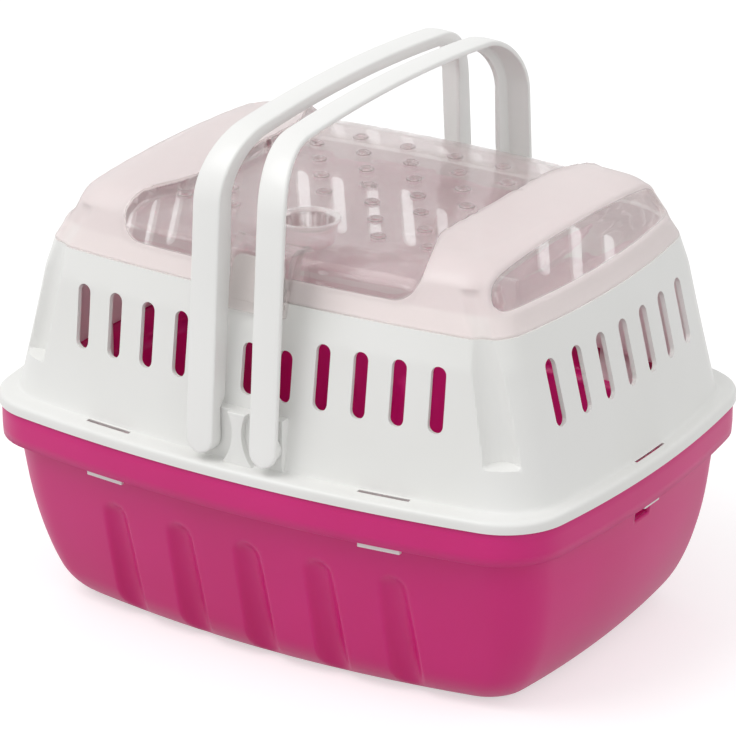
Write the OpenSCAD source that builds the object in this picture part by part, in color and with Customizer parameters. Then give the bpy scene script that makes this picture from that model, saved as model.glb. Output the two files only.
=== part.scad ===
// Small animal carrier: a floor tub, a vented upper shell, a clear hinged lid and two swinging handles.
// Millimetres, +Z up, +X along the length, the latch side faces -Y. The tub's flat bottom is z = 0.

/* [Overall] */
// Length over the shell's flange
body_l = 300; // [270:1:340]
// Depth over the shell's flange
body_d = 225; // [205:1:250]
// Height of the tub, up to the seam with the shell
tub_h = 97; // [85:1:120]
// Height of the vented shell wall, from the seam to the lid's edge
shell_h = 77.7; // [72:0.1:90]
// Wall thickness of the tub and the shell
wall = 2.2; // [1.8:0.1:2.6]
// Wall thickness of the clear lid
lid_wall = 1.6; // [1.2:0.1:2]

/* [Tub] */
// Height of the upright band under the seam
band_h = 16; // [12:0.5:20]
// How far the tub's wall stands in behind the band
ledge_w = 7.2; // [6:0.1:9]
// Height of the rounded lower part of the end walls
end_round_h = 62; // [40:1:70]
// How far that rounding draws the ends in
end_round_in = 27; // [15:1:32]
// Number of flutes in each long side
flute_count = 5; // [3:1:7]
// Distance from flute to flute
flute_pitch = 36.4; // [30:0.1:40]
// Radius of a flute
flute_r = 8; // [6:0.5:9]
// Depth that a flute reaches at the bottom
flute_depth = 6.6; // [5:0.1:7.5]

/* [Vents] */
// Vent slots in each long wall
front_slots = 11; // [7:2:13]
// Distance from slot to slot in the long walls
front_pitch = 18.16; // [14:0.01:19]
// Vent slots in each end wall
end_slots = 7; // [3:2:7]
// Distance from slot to slot in the end walls
end_pitch = 18.6; // [14:0.1:19]
// Width of a slot
slot_w = 7; // [4:0.1:8]
// Height of a slot, over its round ends
slot_h = 29.3; // [20:0.1:32]
// Height of the slots' lower ends above the seam
slot_z = 34.9; // [32:0.1:38]
// How much lower the three slots beside the handles end
slot_short = 6.3; // [0:0.1:10]

/* [Lid] */
// Height of the sunken roof panel above the lid's edge
panel_rise = 22.5; // [20:0.1:26]
// Height of the cross ridges above the panel
ridge_rise = 5; // [2:0.1:7]
// Half the width of the sunken panel
panel_half = 65; // [64.6:0.1:68]
// Distance from air hole to air hole along a row
hole_pitch = 25; // [20:0.5:25.2]
// Distance between the rows of air holes
hole_row = 17.5; // [15:0.1:18]
// Radius of an air hole
hole_r = 1.9; // [1.2:0.1:2.4]
// Radius of the finger well behind the latch
well_r = 10.8; // [9:0.1:13]
// Depth of the finger well
well_depth = 10; // [5:0.5:12]
// Half the width of the latch tongue
tongue_half = 16.5; // [15:0.1:20]

/* [Handles] */
// Height of the grips' tops above the pivots
handle_rise = 136.8; // [132:0.1:150]
// Width of a handle leg
leg_w = 13.7; // [12:0.1:14.5]
// Width of a grip
grip_w = 12.5; // [11:0.1:14]
// Distance from the middle to a leg's near side
leg_x = 9.3; // [9:0.1:11]
// Distance from the middle to a grip's near side
grip_x = 5.5; // [5.3:0.1:8]
// Thickness of the handle's walls
handle_t = 2.5; // [2:0.1:3]
// Radius of the bend between leg and grip
bend_r = 31.5; // [25:0.5:34]
// Height of the pivots above the seam
pivot_z = 16; // [15:0.5:18]
// Radius of the pivot pins
pin_r = 3; // [2:0.1:3.4]
// Gap all round a pin in its bore
pin_clear = 0.06; // [0.03:0.01:0.1]

/* [Hidden] */

// Points along each kind of side of a quarter outline
N_END = 4;
N_CORNER = 6;
N_SIDE = 5;
$fn = 48;
EPS = 0.01;

A = body_l / 2;
B = body_d / 2;
SIDE_BOW = 16.15;
END_BOW = 12.3;
FLANGE_R = 31.7;
FLANGE_H = 5.2;
seam = tub_h;
lid_z = seam + shell_h;
panel_z = lid_z + panel_rise;
ridge_z = panel_z + ridge_rise;

// Vertical gap between the lid and the shell, and gap between their walls
LID_GAP = 0.4;
// Gap between a moving piece and what it passes
RUN_GAP = 0.4;

// Radius of an arc with a given half chord and rise
function bow_r(h, s) = (h * h + s * s) / (2 * s);

function arc(c, r, a0, a1, n) = [for (i = [0 : n - 1]) c + r * [cos(a0 + (a1 - a0) * i / n), sin(a0 + (a1 - a0) * i / n)]];

// Centre of the corner arc that touches both bowed sides from inside
function corner_c(ce, cf, p, q) =
    let (d = norm(ce - cf), u = (ce - cf) / d, t = (d * d + p * p - q * q) / (2 * d))
    cf + t * u + sqrt(p * p - t * t) * [u[1], -u[0]];

// Quarter of a rounded rectangle with bowed sides, from the +X end to the +Y side
// o is [half length, half depth, bow of the long side, bow of the end, corner radius]
function quarter(o) =
    let (rx = bow_r(o[0], o[2]), ry = bow_r(o[1], o[3]))
    let (cf = [0, o[1] - rx], ce = [o[0] - ry, 0])
    let (c = corner_c(ce, cf, rx - o[4], ry - o[4]))
    let (ae = atan2(c[1] - ce[1], c[0] - ce[0]), af = atan2(c[1] - cf[1], c[0] - cf[0]))
    concat(arc(ce, ry, 0, ae, N_END), arc(c, o[4], ae, af, N_CORNER), arc(cf, rx, af, 90, N_SIDE), [[0, o[1]]]);

function outline(o) =
    let (q = quarter(o), n = len(q))
    concat(
        q,
        [for (i = [n - 2 : -1 : 0]) [-q[i][0], q[i][1]]],
        [for (i = [1 : n - 1]) [-q[i][0], -q[i][1]]],
        [for (i = [n - 2 : -1 : 1]) [q[i][0], -q[i][1]]]);

// Closed solid through stacked outlines: each level is [z, outline]
module loft(levels) {
    rings = [for (l = levels) [for (p = outline(l[1])) [p[0], p[1], l[0]]]];
    skin(rings);
}

// Closed solid through rings of points with the same count, capped at both ends
module skin(rings) {
    n = len(rings[0]);
    m = len(rings);
    points = [for (r = rings) each r];
    sides = [for (k = [0 : m - 2]) for (i = [0 : n - 1])
        let (a = k * n + i, b = k * n + (i + 1) % n)
        each [[a, a + n, b + n], [a, b + n, b]]];
    faces = concat([[for (i = [0 : n - 1]) i]], sides, [[for (i = [n - 1 : -1 : 0]) (m - 1) * n + i]]);
    polyhedron(points, faces, convexity = 6);
}

function mix(a, b, t) = a + (b - a) * t;

// A copy on both sides of the X = 0 plane
module both_x() {
    children();
    mirror([1, 0, 0]) children();
}

// A copy on both sides of the Y = 0 plane
module both_y() {
    children();
    mirror([0, 1, 0]) children();
}

/* Tub */

LEDGE_Z = seam - band_h;
WALL_TOP = LEDGE_Z - 2;
BAND_IN = 1.2;
END_LEAN = 0.08;
SIDE_LEAN = 0.24;
SIDE_ROUND_H = 16;
SIDE_ROUND_IN = 14;
band_o = [A - BAND_IN, B - BAND_IN + 0.3, SIDE_BOW, END_BOW, FLANGE_R - 0.7];

// How far a quarter ellipse of a given height and depth stands in at a height above its lower end
function drawn_in(z, h, d) = z >= h ? 0 : d * (1 - sqrt(1 - pow((h - z) / h, 2)));

// Outer outline of the tub's wall at a height
function tub_o(z) =
    let (t = z / WALL_TOP)
    [A - BAND_IN - ledge_w - END_LEAN * (WALL_TOP - z) - drawn_in(z, end_round_h, end_round_in),
     B - BAND_IN - ledge_w - SIDE_LEAN * (WALL_TOP - z) - drawn_in(z, SIDE_ROUND_H, SIDE_ROUND_IN),
     mix(13, 15, t), mix(7, 11, t), mix(17, 27, t)];

function inside(o, w) = [o[0] - w, o[1] - w, o[2], o[3], max(o[4] - w, 1)];

TUB_LEVELS = [0, 0.8, 3, 6.5, 11, 16, 24, 35, 48, end_round_h];

// Row of flutes in one long side: round-topped cylinders that lean into the wall downwards
FLUTE_TOP = 57;
FLUTE_TOP_DEPTH = 3.4;
FLUTE_LEAN = SIDE_LEAN + (flute_depth - FLUTE_TOP_DEPTH) / FLUTE_TOP;
module flutes(extra) {
    for (i = [0 : flute_count - 1])
        let (x = (i - (flute_count - 1) / 2) * flute_pitch)
        let (bow = 15 * pow(x / A, 2), y = B - BAND_IN - ledge_w - SIDE_LEAN * WALL_TOP - flute_depth + flute_r - bow)
        translate([x, y, 0])
        rotate([-atan(FLUTE_LEAN), 0, 0]) {
            translate([0, 0, -30]) cylinder(r = flute_r + extra, h = 30 + FLUTE_TOP);
            translate([0, 0, FLUTE_TOP]) sphere(r = flute_r + extra);
        }
}

// Hooks that hold the shell hang through the ledge: two in each long side, one in each end
HOOK_X = 71;
HOOK_W = 20;
HOOK_T = 2.2;
END_HOOK_W = 13;
HOOK_IN = 1.7;
hook_y = B - BAND_IN - wall - SIDE_BOW * pow(HOOK_X / A, 2) - HOOK_IN;
end_hook_x = A - BAND_IN - wall - HOOK_IN;
HOOK_TIP = 1.6;
module hooks(gap, z0, z1) {
    both_x() both_y()
        translate([HOOK_X, hook_y, (z0 + z1) / 2])
        rotate([0, 0, -atan(2 * SIDE_BOW * HOOK_X / (A * A))])
        cube([HOOK_W + 2 * gap, HOOK_T + 2 * gap, z1 - z0], center = true);
    both_x()
        translate([end_hook_x, 0, (z0 + z1) / 2])
        cube([HOOK_T + 2 * gap, END_HOOK_W + 2 * gap, z1 - z0], center = true);
}

// Latch window in each end wall, under the ledge
WINDOW_W = 13;
WINDOW_H = 7;
module end_windows() {
    both_x()
        translate([A - ledge_w - 16, -WINDOW_W / 2, LEDGE_Z - 3 - WINDOW_H])
        cube([20, WINDOW_W, WINDOW_H]);
}

module base_tub() color("#BE3E76") difference() {
    union() {
        difference() {
            loft(concat(
                [for (z = TUB_LEVELS) [z, tub_o(z)]],
                [[WALL_TOP, tub_o(WALL_TOP)], [LEDGE_Z, band_o], [seam, band_o]]));
            both_y() flutes(0);
        }
    }
    difference() {
        loft(concat(
            [for (z = TUB_LEVELS) [z + wall, inside(tub_o(z), wall)]],
            [[WALL_TOP + wall / 2, inside(tub_o(WALL_TOP), wall)],
             [LEDGE_Z + wall, inside(tub_o(WALL_TOP), wall)],
             [LEDGE_Z + wall + 0.6, inside(band_o, wall)],
             [seam + 1, inside(band_o, wall)]]));
        both_y() flutes(wall);
    }
    hooks(0.5, LEDGE_Z - 10, LEDGE_Z + 10);
    end_windows();
}

/* Vented shell */

SHELL_LEAN_X = 0.245;
SHELL_LEAN_Y = 0.146;
ROOT_Z = 6;
ROOT_X = 7.2;
ROOT_Y = 10.6;
SHOULDER_Z = 64.3;
SHOULDER_X = 0.3;
SHOULDER_Y = 0.32;
UPSTAND_H = 8;

// Outer outline of the shell's wall at a height above the seam
function wall_o(h) =
    let (k = min(h, SHOULDER_Z) - ROOT_Z, s = max(h - SHOULDER_Z, 0), t = h / shell_h)
    [A - ROOT_X - SHELL_LEAN_X * k - SHOULDER_X * s, B - ROOT_Y - SHELL_LEAN_Y * k - SHOULDER_Y * s,
     mix(14.6, 8, t * t), mix(11.4, 9.8, t), mix(27, 20, t)];

// Outer outline of the lid's edge, which sits flush with the shoulder
edge_o = wall_o(shell_h);

function shell_out() = concat(
    [[0, [A, B, SIDE_BOW, END_BOW, FLANGE_R]],
     [FLANGE_H - 1.7, [A, B, SIDE_BOW, END_BOW, FLANGE_R]],
     [FLANGE_H - 0.5, [A - 0.6, B - 0.6, SIDE_BOW, END_BOW, FLANGE_R]],
     [FLANGE_H, [A - 2, B - 2, SIDE_BOW, END_BOW, FLANGE_R]],
     [ROOT_Z - 0.2, inside(wall_o(ROOT_Z), -1.2)]],
    [for (h = [ROOT_Z + 1.2, 35, SHOULDER_Z, 71, shell_h - LID_GAP]) [h, wall_o(h)]],
    [[shell_h - LID_GAP, inside(edge_o, lid_wall + LID_GAP)],
     [shell_h + UPSTAND_H, inside(dome_o(UPSTAND_H, 0), lid_wall + LID_GAP)]]);

function shell_in() = [
    [-1, [A - 3.7, B - 3.7, SIDE_BOW, END_BOW, FLANGE_R - 3]],
    [FLANGE_H - 2.4, [A - 3.7, B - 3.7, SIDE_BOW, END_BOW, FLANGE_R - 3]],
    [FLANGE_H - 2.2, inside(wall_o(ROOT_Z), wall)],
    [35, inside(wall_o(35), wall)],
    [SHOULDER_Z, inside(wall_o(SHOULDER_Z), wall)],
    [shell_h - 2, inside(wall_o(shell_h), wall + lid_wall)],
    [shell_h + UPSTAND_H + 1, inside(dome_o(UPSTAND_H, 0), lid_wall + LID_GAP + wall)]];

function raised(levels, z) = [for (l = levels) [l[0] + z, l[1]]];

// One slot, upright in the X-Z plane, cut through along Y
module slot(h) {
    rotate([90, 0, 0])
    linear_extrude(60, center = true) {
        translate([0, slot_w / 2]) circle(d = slot_w);
        translate([0, h - slot_w / 2]) circle(d = slot_w);
        translate([-slot_w / 2, slot_w / 2]) square([slot_w, h - slot_w]);
    }
}

module vents() {
    m = (front_slots - 1) / 2;
    n = (end_slots - 1) / 2;
    for (i = [-m : m])
        both_y() translate([i * front_pitch, -B, seam + slot_z]) slot(abs(i) < 2 ? slot_h - slot_short : slot_h);
    for (i = [-n : n])
        both_x() translate([A, i * end_pitch, seam + slot_z]) rotate([0, 0, 90]) slot(slot_h);
}

// Pivot pad on each long wall with two pins and a waisted post between the legs
PAD_HALF = 21.8;
PAD_Z0 = 5;
PAD_H = 24;
PAD_Y = B - 9.5;
POST_OUT = 3;
POST_R = 22;
POST_WAIST = 2.6;
PIN_LEN = 6;
pivot_x = leg_x + leg_w / 2;
module pivot_pads() {
    both_y() translate([0, -PAD_Y, seam]) {
        difference() {
            translate([-PAD_HALF, 0, PAD_Z0]) cube([2 * PAD_HALF, 9, PAD_H]);
            both_x() translate([PAD_HALF - 3.4, -1, PAD_Z0 + 5]) cube([1.6, 2.4, 13]);
        }
        difference() {
            translate([-8, -POST_OUT, PAD_Z0]) cube([16, POST_OUT + 1, PAD_H]);
            both_x()
                translate([POST_R + POST_WAIST, 2, PAD_Z0 + PAD_H * 0.6])
                rotate([90, 0, 0])
                cylinder(r = POST_R, h = 10, $fn = 96);
        }
        both_x()
            translate([pivot_x, EPS, pivot_z])
            rotate([90, 0, 0])
            cylinder(r = pin_r, h = PIN_LEN);
    }
}

// Slits in the flange above the hooks, and a core hole under each pivot pin
SLIT_W = 25;
module flange_slits() {
    both_x() both_y()
        translate([HOOK_X, hook_y - 3.2, seam + 3])
        rotate([0, 0, -atan(2 * SIDE_BOW * HOOK_X / (A * A))])
        cube([SLIT_W, 2.2, 10], center = true);
    both_x()
        translate([end_hook_x - 0.9, 0, seam + 3])
        cube([2.2, SLIT_W, 10], center = true);
    both_x() both_y()
        translate([pivot_x, PAD_Y + 1.6, seam + 3])
        cube([7, 3, 10], center = true);
}

// Latch tab that stands up behind the lid's tongue
TAB_HALF = 13;
TAB_TOP = 16.2;
TAB_T = 1.8;
TAB_LEAN = 0.235;
TONGUE_Y = B - 20;
function tongue_y(h) = TONGUE_Y - TAB_LEAN * h;
module latch_tab() {
    y0 = tongue_y(0) - lid_wall - RUN_GAP;
    y1 = tongue_y(TAB_TOP) - lid_wall - RUN_GAP;
    intersection() {
        rotate([90, 0, 90])
            linear_extrude(2 * TAB_HALF, center = true)
            polygon([[-y0, lid_z - 3], [-y0, lid_z], [-y1, lid_z + TAB_TOP], [TAB_T - y1, lid_z + TAB_TOP], [TAB_T - y0, lid_z], [TAB_T + 3 - y0, lid_z - 3]]);
        translate([0, -B / 2, 0])
            rotate([90, 0, 0])
            linear_extrude(B, center = true) {
                translate([-TAB_HALF, 0]) square([2 * TAB_HALF, lid_z + TAB_TOP - 4]);
                translate([4 - TAB_HALF, 0]) square([2 * TAB_HALF - 8, lid_z + TAB_TOP]);
                for (x = [4 - TAB_HALF, TAB_HALF - 4]) translate([x, lid_z + TAB_TOP - 4]) circle(4);
            }
    }
}

// Hinge at the back edge: ears with a pin on the shell, a knuckle with a bore on the lid
HINGE_X = 60;
KNUCKLE_L = 14;
KNUCKLE_R = 2.8;
EAR_T = 3;
HINGE_PIN_R = 1.6;
HINGE_OUT = 1.9;
hinge_y = edge_o[1] + HINGE_OUT;
hinge_z = lid_z + 0.3;
module hinge_ears() {
    both_x() for (s = [-1, 1])
        translate([HINGE_X + s * (KNUCKLE_L / 2 + RUN_GAP + EAR_T / 2), 0, 0])
        rotate([90, 0, 90])
        linear_extrude(EAR_T, center = true) {
            translate([hinge_y, hinge_z]) circle(KNUCKLE_R);
            polygon([[hinge_y + KNUCKLE_R, hinge_z], [hinge_y - 4.4, hinge_z - 1.6], [hinge_y - 0.4, hinge_z - 13]]);
        }
    both_x()
        translate([HINGE_X, hinge_y, hinge_z])
        rotate([0, 90, 0])
        cylinder(r = HINGE_PIN_R, h = KNUCKLE_L + 2 * RUN_GAP + 2, center = true);
}

// Groove in each corner of the wall, deepest at its foot, and the bulge that it makes inside
GROOVE_R = 8;
GROOVE_Z = 24;
GROOVE_X = A - 28.4;
GROOVE_Y = B - 24.7;
GROOVE_LEAN = 0.2;
BULGE_TOP = 72;
module corner_grooves(extra, top) {
    both_x() both_y()
        translate([GROOVE_X, GROOVE_Y, seam + GROOVE_Z])
        rotate([0, -atan(GROOVE_LEAN), 0])
        translate([0, 0, -extra])
        cylinder(r = GROOVE_R + extra, h = extra + (top - GROOVE_Z) / cos(atan(GROOVE_LEAN)));
}

module vent_shell() color("#E8E8E6") union() {
    difference() {
        loft(raised(shell_out(), seam));
        difference() {
            loft(raised(shell_in(), seam));
            corner_grooves(wall, BULGE_TOP);
        }
        corner_grooves(0, shell_h + 3);
        vents();
        flange_slits();
    }
    difference() {
        pivot_pads();
        loft(raised(shell_in(), seam));
    }
    hooks(0, LEDGE_Z - HOOK_TIP, seam + FLANGE_H - 2);
    latch_tab();
    hinge_ears();
}

/* Clear lid */

// Outer outline of the lid at a height above its edge; drop draws the whole dome in
function dome_o(h, drop) =
    let (t = h / 20)
    [edge_o[0] - drop - 0.62 * h, edge_o[1] - drop - 0.36 * h, mix(8, 9, t), mix(9.8, 8, t), max(mix(20, 17, t) - drop, 3)];

// Dome with a flat top: rise is the height of the top, drop the inset of all its outlines
module dome(rise, drop) {
    s = rise - 10;
    base = dome_o(s, drop);
    loft(raised([
        [-1, dome_o(0, drop)],
        [0, dome_o(0, drop)],
        [s * 0.5, dome_o(s * 0.5, drop)],
        [s, base],
        [s + 4, inside(base, 3)],
        [s + 7, inside(base, 6.6)],
        [s + 9, inside(base, 11)],
        [s + 10, inside(base, 17)]], lid_z));
}

// Plan of the sunken panel: straight in the middle, flared towards the front and the back
module panel_plan(extra) {
    x0 = panel_half + extra;
    x1 = x0 + 11;
    polygon([[x0, 45], [x1, B], [-x1, B], [-x0, 45], [-x0, -45], [-x1, -B], [x1, -B], [x0, -45]]);
}

// Recess in each sloping end face, as deep as the gap between two nested domes
RECESS_X = A - 45.5;
RECESS_HALF = B - 38.5;
RECESS_Z = UPSTAND_H + lid_wall + RUN_GAP;
RECESS_DEPTH = 2.4;
module end_recess(rise, drop) {
    difference() {
        both_x()
            translate([RECESS_X - drop, -RECESS_HALF - drop, lid_z + RECESS_Z - drop])
            cube([60, 2 * (RECESS_HALF + drop), 60]);
        dome(rise, drop + RECESS_DEPTH);
    }
}

// The roof's outer form, or its inner form at a given drop: the sunken panel and the two ridges
PANEL_STEP = 0.6;
PANEL_Z = RECESS_Z;
module roof(drop) {
    rise = panel_rise + ridge_rise - drop;
    slab = panel_half + 13 - drop;
    intersection() {
        dome(panel_rise - drop, drop + PANEL_STEP);
        translate([-slab, -B, 0]) cube([2 * slab, body_d, 2 * ridge_z]);
    }
    difference() {
        dome(rise, drop);
        translate([0, 0, lid_z + PANEL_Z - drop]) linear_extrude(ridge_z) panel_plan(drop);
        end_recess(rise, drop);
    }
}

// Housing of the latch tongue in the middle of the front
TONGUE_DIP = 6.5;
TONGUE_TOP = 20.5;
TONGUE_SIDE = 2.6;
TONGUE_EDGE = 2.2;
module tongue(drop, low) {
    top = lid_z + TONGUE_TOP - drop;
    rotate([90, 0, 90])
        linear_extrude(2 * (tongue_half - drop), center = true)
        polygon([
            [drop - tongue_y(-TONGUE_DIP), lid_z - TONGUE_DIP - low],
            [drop - tongue_y(0), lid_z],
            [drop - tongue_y(TONGUE_TOP - TONGUE_EDGE), top - TONGUE_EDGE],
            [drop - tongue_y(TONGUE_TOP) + 1.8, top],
            [-B / 2, top],
            [-B / 2, lid_z + 6],
            [TONGUE_SIDE - tongue_y(0), lid_z - low],
            [TONGUE_SIDE - tongue_y(-TONGUE_DIP), lid_z - TONGUE_DIP - low]]);
}

WELL_Y = -48;
COLLAR = 1.6;
module air_holes(r, z, h) {
    for (j = [-3 : 3])
        let (odd = abs(j) % 2, n = odd ? 2.5 : 2)
        for (i = [-n : n])
            let (x = i * hole_pitch, y = 1.5 + j * hole_row)
            if (norm([x, y - WELL_Y]) > well_r + 5)
            translate([x, y, z]) cylinder(r = r, h = h, $fn = 24);
}

module clear_lid() color([0.93, 0.88, 0.88, 0.5]) difference() {
    union() {
        difference() {
            union() {
                roof(0);
                tongue(0, 0);
            }
            roof(lid_wall);
            tongue(lid_wall, 2);
            translate([-A, -B, lid_z - 2]) cube([body_l, body_d, 2]);
        }
        intersection() {
            difference() {
                tongue(0, 0);
                tongue(lid_wall, 2);
            }
            translate([-A, -B, lid_z - 12]) cube([body_l, B, 12 + EPS]);
        }
        air_holes(hole_r + COLLAR, panel_z - EPS, 0.8);
        translate([0, WELL_Y, panel_z - well_depth - lid_wall]) cylinder(r = well_r + lid_wall, h = well_depth + lid_wall);
        both_x()
            translate([HINGE_X, 0, 0])
            rotate([90, 0, 90])
            linear_extrude(KNUCKLE_L, center = true) {
                translate([hinge_y, hinge_z]) circle(KNUCKLE_R);
                polygon([[hinge_y, hinge_z + KNUCKLE_R], [hinge_y - 5.5, hinge_z + KNUCKLE_R], [hinge_y - 4.7, hinge_z + 0.6], [hinge_y, hinge_z]]);
            }
    }
    air_holes(hole_r, panel_z - 5, 10);
    translate([0, WELL_Y, panel_z - well_depth]) cylinder(r = well_r, h = well_depth + 5);
    both_x()
        translate([HINGE_X, hinge_y, hinge_z])
        rotate([0, 90, 0])
        cylinder(r = HINGE_PIN_R + pin_clear, h = KNUCKLE_L + 2, center = true);
}

/* Handles */

LEG_TOP = 104;
LEG_LEAN = 8 / LEG_TOP;
FOOT_Y = B - 1.5;
HUB_R = 5.6;
leg_a = 90 - atan(LEG_LEAN);
GRIP_A = 5;
pad_gap = PAD_Y + RUN_GAP;

// Heights along a leg from the pivot, and how far its web stands off the pad's face
FOOT_STATIONS = [-0.96, -0.85, -0.62, -0.32];
LEG_STATIONS = [[0, 0.3], [14, 0.3], [18, -3.2], [50, -5.8], [80, -9], [LEG_TOP, -10]];
N_BEND = 9;
N_GRIP = 6;
GRIP_WEB = 5.5;
GRIP_SAG = 3.3;
leg_rise = handle_rise - bend_r * (cos(GRIP_A) - cos(leg_a)) - GRIP_SAG;
leg_k = leg_rise / LEG_TOP;
foot_top_y = FOOT_Y - LEG_LEAN * leg_rise;
grip_half = foot_top_y - bend_r * (sin(leg_a) - sin(GRIP_A));

// Stations of half a handle: [y out from the middle, z above the pivot, angle of travel, web depth, shift]
function leg_y(z) = FOOT_Y - LEG_LEAN * z;
TOP_WEB = leg_y(LEG_TOP) - pad_gap + 10;
function half_path() = concat(
    [for (k = FOOT_STATIONS) let (z = k * leg_w / 2) [leg_y(z), z, leg_a, leg_y(z) - pad_gap - 0.3, 0]],
    [for (s = LEG_STATIONS) let (z = s[0] * leg_k) [leg_y(z), z, leg_a, leg_y(z) - pad_gap - s[1], 0]],
    [for (i = [1 : N_BEND])
        let (t = i / N_BEND, a = mix(leg_a, GRIP_A, t))
        [foot_top_y - bend_r * (sin(leg_a) - sin(a)), leg_rise + bend_r * (cos(a) - cos(leg_a)), a,
         mix(TOP_WEB, GRIP_WEB, t), t * t * (3 - 2 * t)]],
    [for (i = [1 : N_GRIP])
        let (t = i / N_GRIP, y = grip_half * (1 - t))
        [y, handle_rise - GRIP_SAG * pow(1 - t, 2), GRIP_A * (1 - t), GRIP_WEB, 1]]);

// Section points across a station: x outwards, n into the arch
function section(x0, w, d) =
    let (t = handle_t, c = 0.9, k = 0.3)
    [[x0, c], [x0 + k, k], [x0 + c, 0], [x0 + w / 2, -0.35], [x0 + w - c, 0], [x0 + w - k, k], [x0 + w, c],
     [x0 + w, t], [x0 + t, t], [x0 + t, d], [x0, d]];

// The foot is rounded about the pivot, so its section narrows below it
function handle_ring(s, side) =
    let (h = s[1] < 0 ? sqrt(pow(leg_w / 2, 2) - s[1] * s[1]) : leg_w / 2)
    let (x0 = mix(pivot_x - h, grip_x, s[4]), w = mix(2 * h, grip_w, s[4]))
    [for (p = section(x0, w, s[3]))
        [p[0], side * (s[0] - p[1] * sin(s[2])), s[1] - p[1] * cos(s[2])]];

module handle() {
    front = half_path();
    n = len(front);
    rings = concat(
        [for (i = [0 : n - 1]) handle_ring(front[i], -1)],
        [for (i = [n - 2 : -1 : 0]) handle_ring(front[i], 1)]);
    translate([0, 0, seam + pivot_z]) difference() {
        union() {
            skin(rings);
            both_y()
                translate([pivot_x, -pad_gap, 0])
                rotate([90, 0, 0])
                cylinder(r = HUB_R, h = FOOT_Y - 1 - pad_gap);
        }
        both_y()
            translate([pivot_x, -pad_gap + 1, 0])
            rotate([90, 0, 0])
            cylinder(r = pin_r + pin_clear, h = PIN_LEN + 1);
    }
}

module right_handle() color("#ECECEA") handle();

module left_handle() color("#ECECEA") mirror([1, 0, 0]) handle();

base_tub();
vent_shell();
clear_lid();
left_handle();
right_handle();
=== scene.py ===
import bpy
import numpy as np
from mathutils import Matrix, Vector


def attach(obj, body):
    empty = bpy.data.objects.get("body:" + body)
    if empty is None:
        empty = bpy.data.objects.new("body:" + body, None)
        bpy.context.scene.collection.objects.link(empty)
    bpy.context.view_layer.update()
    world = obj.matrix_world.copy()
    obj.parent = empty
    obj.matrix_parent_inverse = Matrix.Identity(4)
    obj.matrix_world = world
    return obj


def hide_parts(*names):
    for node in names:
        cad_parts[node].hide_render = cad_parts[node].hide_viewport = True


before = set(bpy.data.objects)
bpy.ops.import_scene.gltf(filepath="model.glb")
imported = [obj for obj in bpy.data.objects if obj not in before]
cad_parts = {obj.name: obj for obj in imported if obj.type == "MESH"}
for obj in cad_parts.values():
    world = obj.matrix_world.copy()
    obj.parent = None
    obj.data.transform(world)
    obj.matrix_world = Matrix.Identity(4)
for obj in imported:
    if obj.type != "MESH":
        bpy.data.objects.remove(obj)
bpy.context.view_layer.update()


# The base tub: one deep polypropylene moulding with a flat floor, drawn-in walls, a row of flutes in each long side,
# an upright band under the seam and a small window in each end, where the shell's end hook shows. All sizes here and
# below are in millimetres.
HALF_L, HALF_D = 150.0, 112.5
SIDE_BOW, END_BOW, FLANGE_R = 16.15, 12.3, 31.7
SEAM, WALL = 97.0, 2.2
LEDGE_Z, WALL_TOP = 81.0, 79.0
LEDGE_W, BAND_IN = 7.2, 1.2
FLUTE_PITCH, FLUTE_R, FLUTE_DEPTH, FLUTE_TOP, SIDE_LEAN = 36.4, 8.0, 6.6, 57.0, 0.24
FLUTE_TOP_DEPTH, FLUTE_EASE, FLUTE_FADE = 3.4, 1.6, 0.15
WINDOW_LOW, WINDOW_HALF, N_WINDOW = 71.0, 6.5, 5
TUB_SPLIT_X, TUB_SPLIT_Y = 84.0, 57.2


def mix(a, b, t):
    """A value a share t of the way from a to b."""
    return a + (b - a) * t


def smooth(t):
    """A share that eases in and out: 3t^2 - 2t^3, held between 0 and 1."""
    t = np.clip(t, 0, 1)
    return t * t * (3 - 2 * t)


def bowed(q, half_l, half_d, bow_side, bow_end, radius, split_x, split_y):
    """A quarter of a rounded rectangle with bowed sides: two large arcs for the long side and the end, and a corner
    arc of the given radius that touches both. q runs 0 to 1 along the long side from its middle to split_x, 1 to 2
    round the corner by distance, and 2 to 3 along the end from split_y to its middle."""
    rx = (half_l**2 + bow_side**2) / (2 * bow_side)
    ry = (half_d**2 + bow_end**2) / (2 * bow_end)
    fy, ex = half_d - rx, half_l - ry
    gap = np.hypot(ex, fy)
    ux, uy = ex / gap, -fy / gap
    p, k = rx - radius, ry - radius
    along = (gap**2 + p**2 - k**2) / (2 * gap)
    off = np.sqrt(p**2 - along**2)
    cx, cy = along * ux + off * uy, fy + along * uy - off * ux
    a_side, a_end = np.arctan2(cy - fy, cx), np.arctan2(cy, cx - ex)
    a_x, a_y = np.arccos(split_x / rx), np.arcsin(split_y / ry)
    l1, l2, l3 = rx * (a_x - a_side), radius * (a_side - a_end), ry * (a_end - a_y)
    s = (q - 1) * (l1 + l2 + l3)
    t1, t2, t3 = a_x - s / rx, a_side - (s - l1) / radius, a_end - (s - l1 - l2) / ry
    part = [q < 1, q > 2, s < l1, s < l1 + l2]
    flat_x, flat_y = q * split_x, (3 - q) * split_y
    end_x = ex + np.sqrt(ry**2 - np.where(q > 2, flat_y, 0) ** 2)
    side_y = fy + np.sqrt(rx**2 - np.where(q < 1, flat_x, 0) ** 2)
    x = np.select(part, [flat_x, end_x, rx * np.cos(t1), cx + radius * np.cos(t2)], ex + ry * np.cos(t3))
    y = np.select(part, [side_y, flat_y, fy + rx * np.sin(t1), cy + radius * np.sin(t2)], ry * np.sin(t3))
    return x, y


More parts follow.
